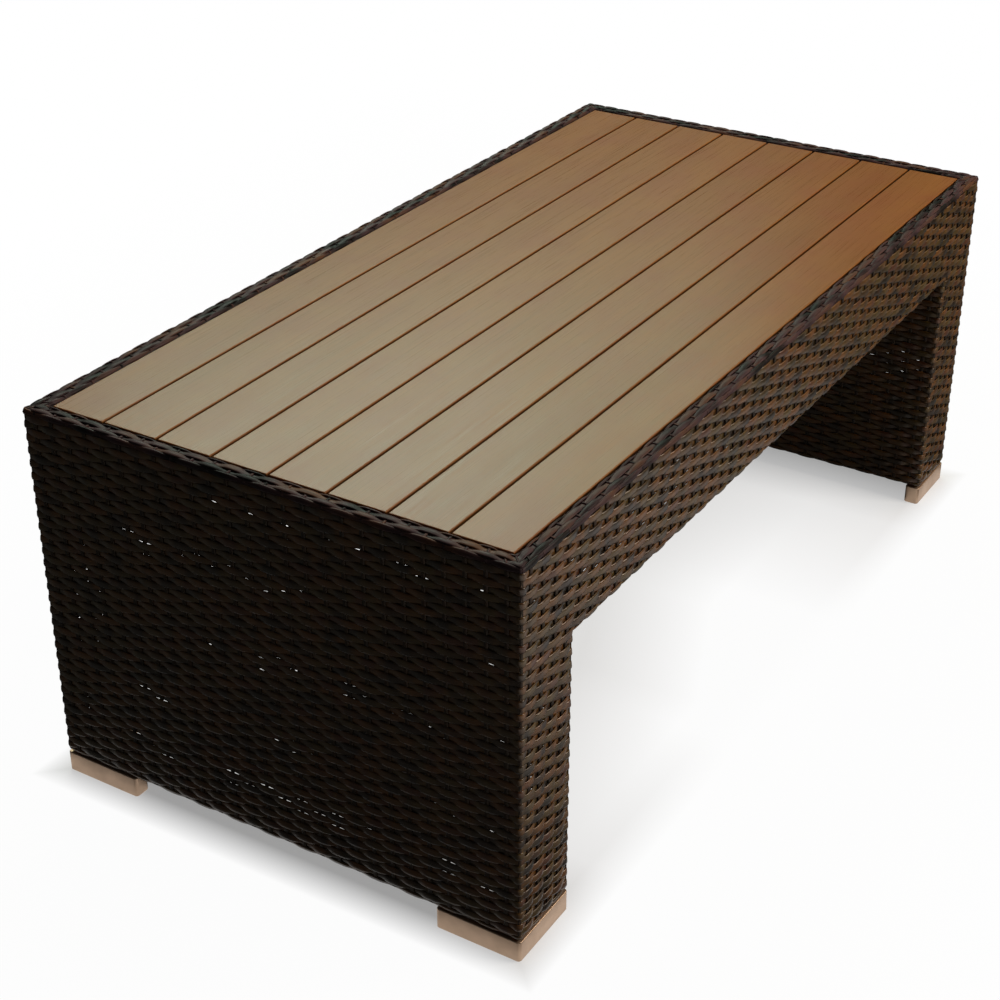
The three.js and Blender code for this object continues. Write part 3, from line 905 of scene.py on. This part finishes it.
def foot_finish(name):
    """Satin anodised metal, brushed very finely along the foot."""
    look = bpy.context.scene.metal_look
    finish = Finish(name)
    place = finish.place("Object")
    brushed = finish.node(
        "ShaderNodeMapping", {}, {"Vector": place, "Scale": (60.0, 60.0, 2500.0)})
    lines = finish.noise(brushed, 1.0, 3.0, 0.6)
    marks = finish.noise(place, 35.0, 3.0, 0.6)
    worn = tuple(part * 0.86 for part in look.foot)
    finish.surface(
        Base_Color=finish.mix(marks.spread(0.35, 0.7), look.foot, worn),
        Metallic=0.7,
        Roughness=(lines * 0.5 + marks * 0.5).spread(0.3, 0.7, 0.34, 0.48))
    finish.bump(lines, 0.003 * MM)
    return finish.material


def tube_finish(name):
    """Powder coat with its fine orange-peel texture."""
    look = bpy.context.scene.metal_look
    finish = Finish(name)
    place = finish.place("Object")
    peel = finish.noise(place, 900.0, 2.0)
    dust = finish.noise(place, 14.0, 4.0, 0.6)
    dusty = tuple(part * 1.6 + 0.006 for part in look.tube)
    finish.surface(
        Base_Color=finish.mix(dust.spread(0.5, 0.8), look.tube, dusty),
        Roughness=peel.spread(0.3, 0.7, 0.45, 0.6))
    finish.bump(peel, 0.02 * MM)
    return finish.material


def wall_section(depth, top):
    """Fold of an end panel: a strip underneath, a rounded edge and the wall."""
    return Section([
        (PANEL_STRIP, PANEL_BOTTOM + depth),
        (depth, PANEL_BOTTOM + depth),
        (depth, top),
    ], [EDGE_ROUND], 1)


def apron_section(depth):
    """Fold of an apron: up behind its rail, under it and up the outer face."""
    back = APRON_WRAP - depth
    return Section([
        (back, APRON_WRAP_TOP),
        (back, APRON_BOTTOM + depth),
        (depth, APRON_BOTTOM + depth),
        (depth, WALL_TOP),
    ], [EDGE_ROUND, EDGE_ROUND], 2)


def border_section(depth):
    """Fold of the border: up the side, over the top and down beside the slats."""
    back = BORDER_REACH - depth
    return Section([
        (depth, WALL_TOP + BORDER_START),
        (depth, TABLE_TOP - depth),
        (back, TABLE_TOP - depth),
        (back, BORDER_LOW.z),
    ], [CORNER_ROUND - depth, LIP_ROUND], 0)


def wall_row(row, depth):
    """Distance up the wall's fold to the middle of a course."""
    if row < LEG_COURSES:
        return LEG_COURSE * (row + 0.5) - depth
    return LEG_RISE + APRON_COURSE * (row - LEG_COURSES + 0.5) - depth


def strip_start(weave):
    """Distance along the fold to the hidden edge of the strip under an end panel."""
    return weave.depth - PANEL_STRIP


def panel_rows(weave):
    """Courses of an end panel from the strip underneath to the top of the legs."""
    return range(round(strip_start(weave) / LEG_COURSE), LEG_COURSES)


class WICKER_OT_ends(bpy.types.Operator):
    """Weaves the outer faces of both end panels, with the corners that they turn"""

    bl_idname = "wicker.ends"
    bl_label = "Weave Ends"
    bl_options = {"REGISTER", "UNDO"}

    def execute(self, context):
        weave = context.scene.wicker_weave
        wicker = shared("wall_strand", wicker_finish)
        section = wall_section(weave.depth, WALL_TOP)
        manner = end_manner(weave, weave.end_swell)
        top = WALL_TOP - PANEL_BOTTOM - weave.depth
        whole = whole_outline()
        for end, turned, side in (("left", False, LEFT), ("right", True, RIGHT)):
            panel = panel_outline(turned)
            seams = panel.seams(OUTER, True)
            courses = Loom(panel, section, weave, manner)
            courses.wall(panel_rows(weave), seams)
            courses.use(whole, section)
            courses.wall(range(LEG_COURSES, WALL_COURSES), whole.seams(side, True))
            courses.piece("end_courses_" + end, wicker, "wicker", "end_weave_" + end)
            stakes = Loom(panel, section, weave)
            for number in range(*seams[0]):
                stakes.stake(number, strip_start(weave), top)
            stakes.piece("end_stakes_" + end, wicker, "wicker")
        return {"FINISHED"}


class WICKER_OT_inner(bpy.types.Operator):
    """Weaves the faces of both end panels that look under the table"""

    bl_idname = "wicker.inner"
    bl_label = "Weave Inner Faces"
    bl_options = {"REGISTER", "UNDO"}

    def execute(self, context):
        weave = context.scene.wicker_weave
        wicker = shared("wall_strand", wicker_finish)
        section = wall_section(weave.depth, INNER_TOP)
        manner = end_manner(weave, weave.inner_swell)
        top = INNER_TOP - PANEL_BOTTOM - weave.depth
        beside = APRON_WRAP + INNER_ROOM
        for end, turned in (("left", False), ("right", True)):
            panel = panel_outline(turned)
            seams = panel.seams(INNER, True)
            start = panel.count_at(INNER, beside, weave.depth, APRON_BOTTOM)
            stop = panel.count_at(INNER, 2 * HALF_WIDTH - beside, weave.depth, APRON_BOTTOM)
            courses = Loom(panel, section, weave, manner)
            courses.wall(panel_rows(weave), seams)
            courses.wall(range(LEG_COURSES, WALL_COURSES - 1), ((start, stop), (start, stop)))
            courses.piece("inner_courses_" + end, wicker, "wicker", "inner_weave_" + end)
            stakes = Loom(panel, section, weave)
            for number in range(*seams[0]):
                between = start < number < stop
                stakes.stake(number, strip_start(weave), top if between else LEG_RISE - weave.depth)
            stakes.piece("inner_stakes_" + end, wicker, "wicker")
        return {"FINISHED"}


class WICKER_OT_legs(bpy.types.Operator):
    """Weaves the narrow faces of the four legs"""

    bl_idname = "wicker.legs"
    bl_label = "Weave Legs"
    bl_options = {"REGISTER", "UNDO"}

    def execute(self, context):
        weave = context.scene.wicker_weave
        wicker = shared("wall_strand", wicker_finish)
        section = wall_section(weave.depth, APRON_BOTTOM)
        legs = (
            ("front_left", False, NARROW_FIRST),
            ("back_left", False, NARROW_LAST),
            ("back_right", True, NARROW_FIRST),
            ("front_right", True, NARROW_LAST),
        )
        for leg, turned, side in legs:
            panel = panel_outline(turned)
            seams = panel.seams(side, False)
            courses = Loom(panel, section, weave)
            courses.wall(panel_rows(weave), seams)
            courses.piece("leg_courses_" + leg, wicker, "wicker", "leg_weave_" + leg)
            stakes = Loom(panel, section, weave)
            for number in range(*seams[0]):
                stakes.stake(number, strip_start(weave), LEG_RISE - weave.depth)
            stakes.piece("leg_stakes_" + leg, wicker, "wicker")
        return {"FINISHED"}


class WICKER_OT_aprons(bpy.types.Operator):
    """Weaves the long aprons over and round their rails"""

    bl_idname = "wicker.aprons"
    bl_label = "Weave Aprons"
    bl_options = {"REGISTER", "UNDO"}

    def execute(self, context):
        weave = context.scene.wicker_weave
        wicker = shared("wall_strand", wicker_finish)
        section = apron_section(weave.depth)
        over_legs = Section([
            (weave.depth, APRON_BOTTOM - LEG_COURSE),
            (weave.depth, APRON_BOTTOM + weave.depth),
            (weave.depth, WALL_TOP),
        ], [0.0], 1)
        whole = whole_outline()
        reach = HALF_LENGTH - APRON_RAIL_HIGH.x
        wrap = -section.starts[0]
        under = round(wrap / APRON_COURSE)
        top = WALL_TOP - APRON_BOTTOM - weave.depth
        for name, side in (("front", FRONT), ("back", BACK)):
            seams = whole.seams(side, False)
            start = whole.count_at(side, reach, weave.depth, APRON_BOTTOM)
            stop = whole.count_at(side, 2 * HALF_LENGTH - reach, weave.depth, APRON_BOTTOM)
            courses = Loom(whole, section, weave)
            courses.use(whole, section, (start, stop), over_legs)
            for step in range(under):
                distance = -wrap / under * (step + 0.5)
                courses.course(LEG_COURSES - 1 - step, distance, start + JUST, stop - JUST)
            courses.wall(range(LEG_COURSES, WALL_COURSES), seams, LEG_RISE)
            courses.piece("apron_courses_" + name, wicker, "wicker", "apron_weave_" + name)
            stakes = Loom(whole, section, weave)
            stakes.use(whole, section, (start, stop), over_legs)
            for number in range(*seams[0]):
                stakes.stake(number, -wrap if start < number < stop else -LEG_COURSE / 2, top)
            stakes.piece("apron_stakes_" + name, wicker, "wicker")
        return {"FINISHED"}


class WICKER_OT_border(bpy.types.Operator):
    """Weaves the border that frames the slats, carried round the corners of the top"""

    bl_idname = "wicker.border"
    bl_label = "Weave Border"
    bl_options = {"REGISTER", "UNDO"}

    def execute(self, context):
        weave = context.scene.wicker_weave
        cool = shared("border_strand", border_finish)
        section = border_section(weave.depth)
        manner = border_manner(weave)
        whole = whole_outline()
        borders = (("front", FRONT), ("right", RIGHT), ("back", BACK), ("left", LEFT))
        for name, side in borders:
            seams = whole.seams(side, side in (RIGHT, LEFT))
            courses = Loom(whole, section, weave, manner)
            for step in range(BORDER_COURSES):
                row = WALL_COURSES + step
                proud = BORDER_PROUD if step == 0 else 0.0
                courses.course(row, BORDER_COURSE * (step + 0.5), *seams[row % 2], proud)
            courses.piece("border_courses_" + name, cool, "border", "border_" + name)
            stakes = Loom(whole, section, weave, manner)
            for number in range(*seams[0]):
                stakes.stake(number, 0.0, BORDER_COURSE * BORDER_COURSES)
            stakes.piece("border_stakes_" + name, cool, "border")
        return {"FINISHED"}


class WICKER_OT_slats(bpy.types.Operator):
    """Lays the boards of the top, with rounded edges"""

    bl_idname = "wicker.slats"
    bl_label = "Lay Slats"
    bl_options = {"REGISTER", "UNDO"}

    def execute(self, context):
        look = context.scene.slat_look
        board_finish = shared("board", slat_finish)
        for number in range(1, SLATS + 1):
            low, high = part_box(f"slat_{number}")
            shape = bmesh.new()
            bmesh.ops.create_cube(shape, size=1.0)
            fit = Matrix.Translation((low + high) / 2) @ Matrix.Diagonal((*(high - low), 1.0))
            bmesh.ops.transform(shape, matrix=fit, verts=shape.verts)
            round_edges(shape, shape.edges[:], look.round, 3)
            uv = shape.loops.layers.uv.new("Board")
            for face in shape.faces:
                for loop in face.loops:
                    point = loop.vert.co
                    share = (point.y - low.y) / (high.y - low.y)
                    share += (high.z - point.z) * BOARD_SIDES
                    loop[uv].uv = (point.x, number + BOARD_START + BOARD_SHARE * share)
            moulded_piece(f"board_{number}", shape, board_finish, "slat", f"slat_{number}")
        return {"FINISHED"}


class WICKER_OT_frame(bpy.types.Operator):
    """Gives the tubes and bearers their powder coat"""

    bl_idname = "wicker.frame"
    bl_label = "Coat Frame"
    bl_options = {"REGISTER", "UNDO"}

    def execute(self, context):
        coat = shared("powder_coat", tube_finish)
        for name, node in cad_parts.items():
            if any(word in name for word in ("rail", "post", "upright", "bearer")):
                node.data.materials.clear()
                node.data.materials.append(coat)
        return {"FINISHED"}


def foot_shape(arm, along, across):
    """An L-shaped block with its outer corner at the origin."""
    outline = ((0, 0), (along, 0), (along, arm), (arm, arm), (arm, across), (0, across))
    shape = bmesh.new()
    bottom = shape.faces.new([shape.verts.new((x, y, 0.0)) for x, y in outline])
    raised = bmesh.ops.extrude_face_region(shape, geom=[bottom])
    lifted = [item for item in raised["geom"] if isinstance(item, bmesh.types.BMVert)]
    bmesh.ops.translate(shape, vec=(0, 0, PANEL_BOTTOM - FOOT_ROOM), verts=lifted)
    return shape


def edges_between(shape, least, most):
    """Edges of a shape that rise by at least one height and less than another."""
    rises = ((edge, abs(edge.verts[0].co.z - edge.verts[1].co.z)) for edge in shape.edges)
    return [edge for edge, rise in rises if least <= rise < most]


class WICKER_OT_feet(bpy.types.Operator):
    """Makes the four L-shaped feet in satin metal"""

    bl_idname = "wicker.feet"
    bl_label = "Make Feet"
    bl_options = {"REGISTER", "UNDO"}

    def execute(self, context):
        look = context.scene.metal_look
        metal = shared("satin_metal", foot_finish)
        for place in ("front_left", "front_right", "back_left", "back_right"):
            low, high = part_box("foot_" + place)
            shape = foot_shape(look.foot_arm, high.x - low.x, high.y - low.y)
            left, front = place.endswith("left"), place.startswith("front")
            outer = (low.x if left else high.x, low.y if front else high.y, 0.0)
            turned = Matrix.Diagonal((1.0 if left else -1.0, 1.0 if front else -1.0, 1.0, 1.0))
            bmesh.ops.transform(
                shape, matrix=Matrix.Translation(outer) @ turned, verts=shape.verts)
            bmesh.ops.recalc_face_normals(shape, faces=shape.faces)
            round_edges(shape, edges_between(shape, MM, math.inf), look.foot_round, 5)
            round_edges(shape, edges_between(shape, 0.0, MM), look.foot_edge, 3)
            moulded_piece("corner_" + place, shape, metal, "foot", "foot_" + place)
        return {"FINISHED"}


def aim(thing, place, target):
    """Puts a lamp or the camera at a place and points it at a target."""
    thing.location = place
    thing.rotation_euler = (Vector(target) - Vector(place)).to_track_quat("-Z", "Y").to_euler()
    bpy.context.scene.collection.objects.link(thing)


def floor_finish(settings):
    """Plain pale floor that reaches the camera as nearly white and keeps the shadow, with painted
    shade by place under the table and a painted pool of light that only glossy surfaces mirror.
    """
    finish = Finish("pale_floor")
    place = finish.place("Object")
    along, across = finish.split(place, "X"), finish.split(place, "Y")
    beside, before = finish.maths("ABSOLUTE", along), finish.maths("ABSOLUTE", across)
    outside = finish.maths("MAXIMUM", beside - HALF_LENGTH, before - HALF_WIDTH)
    seen = finish.ray("Is Camera Ray")
    grain = finish.noise(place, 6.0, 3.0)
    plain = finish.mix(grain, settings.floor, tuple(part * 0.97 for part in settings.floor))
    finish.surface(
        Base_Color=finish.mix(seen, plain, (0.95, 0.95, 0.95)),
        Roughness=0.9,
        Specular_IOR_Level=0.0)
    # Painted shade and painted light: less white under the table and beside the end panels, more in
    # the open middle and on the lit side
    painted_open_light = beside.spread(*OPEN_LENGTH)
    painted_open_light = painted_open_light * (before + along.spread(*LIGHT_SIDE)).spread(*OPEN_WIDTH)
    inside = settings.painted_shade + OPEN_SHARE * painted_open_light - PANEL_SHARE * beside.spread(*PANEL_SHADE)
    clear = outside.spread(*CLEAR_EDGE)
    white = inside * (1.0 - clear) + clear * settings.whiteness
    white = white + outside.spread(*CLEAR_FAR, 0.0, 1.0 - settings.whiteness)
    # Painted pool and band of light, seen only by glossy rays, for painted reflections on the
    # strands' tips and the feet
    pool = across.spread(*POOL_WIDTH) * along.spread(*POOL_LENGTH)
    band = outside.spread(*BAND_OUTER) * outside.spread(*BAND_INNER)
    band = band * before.spread(*BAND_STRENGTH)
    mirrored = finish.maths("MAXIMUM", pool * (1.0 - POOL_LEAST) + POOL_LEAST, band)
    painted = Wire(finish, finish.shader.outputs[0])
    glow = finish.node("ShaderNodeEmission", {}, {"Color": (1, 1, 1, 1), "Strength": 1.0})
    share = seen * white + finish.ray("Is Glossy Ray") * mirrored
    both = finish.node("ShaderNodeMixShader", {}, {0: share, 1: painted, 2: glow})
    finish.feed(finish.tree.nodes["Material Output"].inputs["Surface"], both)
    return finish.material


def lay_floor(settings):
    """A wide flat floor that belongs to the stage."""
    shape = bmesh.new()
    bmesh.ops.create_grid(shape, x_segments=8, y_segments=8, size=FLOOR_REACH)
    mesh = bpy.data.meshes.new("floor")
    shape.to_mesh(mesh)
    shape.free()
    mesh.materials.append(floor_finish(settings))
    floor = bpy.data.objects.new("floor", mesh)
    bpy.context.scene.collection.objects.link(floor)


def hang_lamp(lamp, power):
    """A soft lamp over the table."""
    light = bpy.data.lights.new(lamp.name, "AREA")
    light.shape = "RECTANGLE"
    light.size = lamp.width
    light.size_y = lamp.height
    light.energy = power
    light.color = lamp.colour
    aim(bpy.data.objects.new(lamp.name, light), lamp.place, lamp.target)


def studio_world(settings):
    """A world that is white to the camera and gives little light of its own."""
    world = bpy.data.worlds.new("studio")
    world.use_nodes = True
    nodes = Nodes(world.node_tree)
    light = nodes.node("ShaderNodeMix", {}, {
        0: nodes.ray("Is Glossy Ray"), 2: settings.fill, 3: settings.mirrored})
    strength = nodes.node("ShaderNodeMix", {}, {0: nodes.ray("Is Camera Ray"), 2: light, 3: 1.0})
    back = nodes.tree.nodes["Background"]
    nodes.feed(back.inputs["Color"], (1.0, 1.0, 1.0, 1.0))
    nodes.feed(back.inputs["Strength"], strength)
    return world


class WICKER_OT_stage(bpy.types.Operator):
    """Sets up the floor, the lamps and the camera"""

    bl_idname = "wicker.stage"
    bl_label = "Set Stage"
    bl_options = {"REGISTER", "UNDO"}

    def execute(self, context):
        scene = context.scene
        settings = scene.wicker_stage
        lay_floor(settings)
        for lamp in LAMPS:
            hang_lamp(lamp, getattr(settings, lamp.name))
        scene.world = studio_world(settings)
        lens = bpy.data.cameras.new("camera")
        lens.lens = settings.lens
        lens.sensor_width = SENSOR_WIDTH
        camera = bpy.data.objects.new("camera", lens)
        level = math.cos(CAMERA_DIP)
        look = Vector((
            math.cos(CAMERA_HEADING) * level, math.sin(CAMERA_HEADING) * level,
            -math.sin(CAMERA_DIP)))
        aim(camera, CAMERA_PLACE, CAMERA_PLACE + look)
        scene.camera = camera
        scene.view_settings.view_transform = "Standard"
        return {"FINISHED"}


SETTINGS = (
    ("wicker_weave", WeaveSettings),
    ("wicker_look", WickerSettings),
    ("slat_look", SlatSettings),
    ("metal_look", MetalSettings),
    ("wicker_stage", StageSettings),
)

OPERATORS = (
    WICKER_OT_ends,
    WICKER_OT_inner,
    WICKER_OT_legs,
    WICKER_OT_aprons,
    WICKER_OT_border,
    WICKER_OT_slats,
    WICKER_OT_frame,
    WICKER_OT_feet,
    WICKER_OT_stage,
)


class WICKER_PT_panel(bpy.types.Panel):
    """Lists the table's settings and the steps that make it."""

    bl_idname = "WICKER_PT_panel"
    bl_label = "Wicker Coffee Table"
    bl_space_type = "VIEW_3D"
    bl_region_type = "UI"
    bl_category = "Wicker Table"

    def draw(self, context):
        layout = self.layout
        for name, _ in SETTINGS:
            box = layout.box()
            group = getattr(context.scene, name)
            for field in group.__annotations__:
                box.prop(group, field)
        for operator in OPERATORS:
            layout.operator(operator.bl_idname)


def register():
    for name, group in SETTINGS:
        bpy.utils.register_class(group)
        setattr(bpy.types.Scene, name, PointerProperty(type=group))
    for operator in OPERATORS:
        bpy.utils.register_class(operator)
    bpy.utils.register_class(WICKER_PT_panel)


def unregister():
    bpy.utils.unregister_class(WICKER_PT_panel)
    for operator in reversed(OPERATORS):
        bpy.utils.unregister_class(operator)
    for name, group in reversed(SETTINGS):
        delattr(bpy.types.Scene, name)
        bpy.utils.unregister_class(group)


def main():
    register()
    bpy.ops.wicker.ends()
    bpy.ops.wicker.inner()
    bpy.ops.wicker.legs()
    bpy.ops.wicker.aprons()
    bpy.ops.wicker.border()
    bpy.ops.wicker.slats()
    bpy.ops.wicker.frame()
    bpy.ops.wicker.feet()
    bpy.ops.wicker.stage()


if __name__ == "__main__":
    main()
